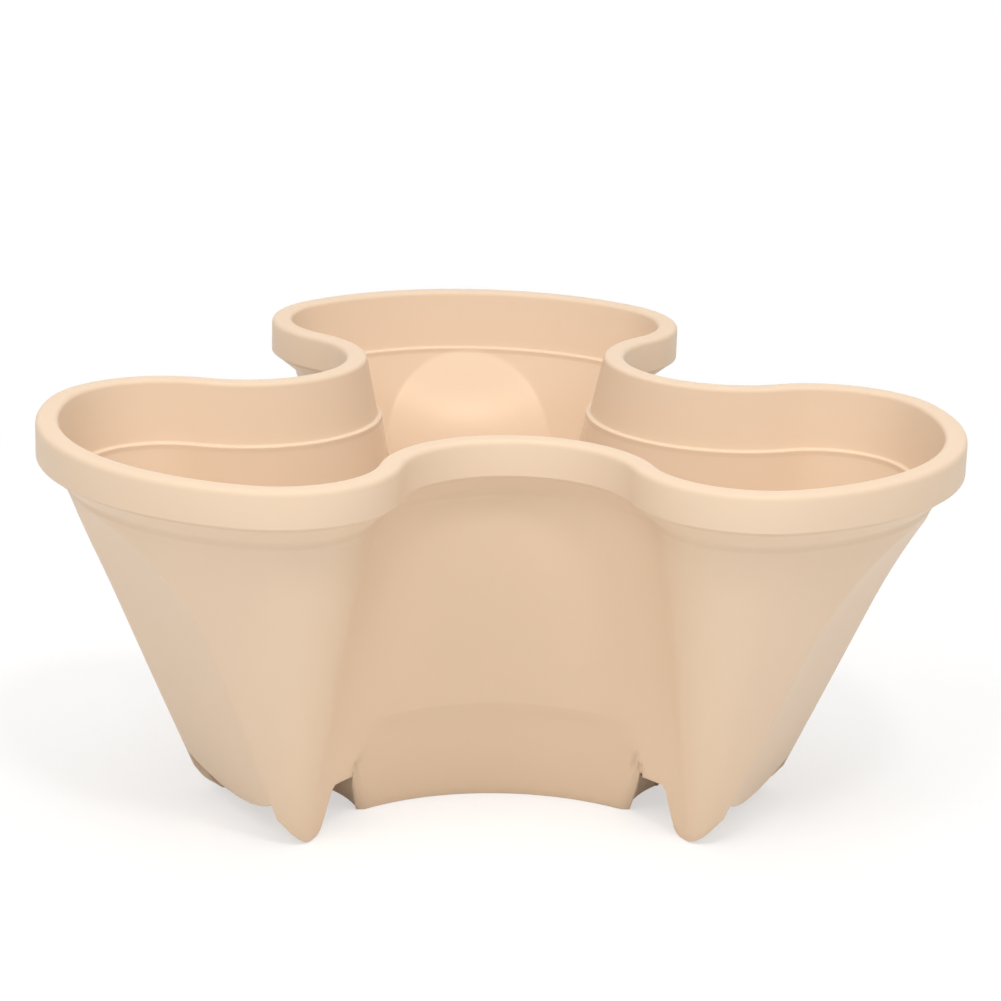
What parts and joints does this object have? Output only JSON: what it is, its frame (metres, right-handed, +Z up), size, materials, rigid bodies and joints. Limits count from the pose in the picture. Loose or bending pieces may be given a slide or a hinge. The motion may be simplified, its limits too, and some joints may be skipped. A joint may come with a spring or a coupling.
{
  "type": "planter tier",
  "caption": "Stacking garden planter tier with three rounded lobes round a hub, a broad rolled rim, flat slanted end panels and notched feet.",
  "frame": {"origin": "middle of the bounding box on the ground plane that the feet and valley skirts stand on; the tier's own upright axis stands 20.1 mm in front of it, at y = -0.0201 m", "axes": "+Z up; +Y towards the tip of the rear lobe; +X to the right, with the other two lobes pointing forwards at 30 degrees either side below the X axis"},
  "size_m": [0.3296, 0.3098, 0.147],
  "materials": {
    "moulding": "satin moulded polypropylene in warm stone beige"
  },
  "bodies": {
    "root": {"end_panel_left": "moulding", "end_panel_rear": "moulding", "end_panel_right": "moulding", "foot_left_back": "moulding", "foot_left_front": "moulding", "foot_rear_left": "moulding", "foot_rear_right": "moulding", "foot_right_back": "moulding", "foot_right_front": "moulding", "hub_floor": "moulding", "pocket_floor_left": "moulding", "pocket_floor_rear": "moulding", "pocket_floor_right": "moulding", "rim_front_valley": "moulding", "rim_left_lobe": "moulding", "rim_rear_left_valley": "moulding", "rim_rear_lobe": "moulding", "rim_rear_right_valley": "moulding", "rim_right_lobe": "moulding", "side_wall_left_back": "moulding", "side_wall_left_front": "moulding", "side_wall_rear_left": "moulding", "side_wall_rear_right": "moulding", "side_wall_right_back": "moulding", "side_wall_right_front": "moulding", "spigot_wall_left": "moulding", "spigot_wall_rear": "moulding", "spigot_wall_right": "moulding", "valley_wall_front": "moulding", "valley_wall_rear_left": "moulding", "valley_wall_rear_right": "moulding"}
  },
  "joints": []
}
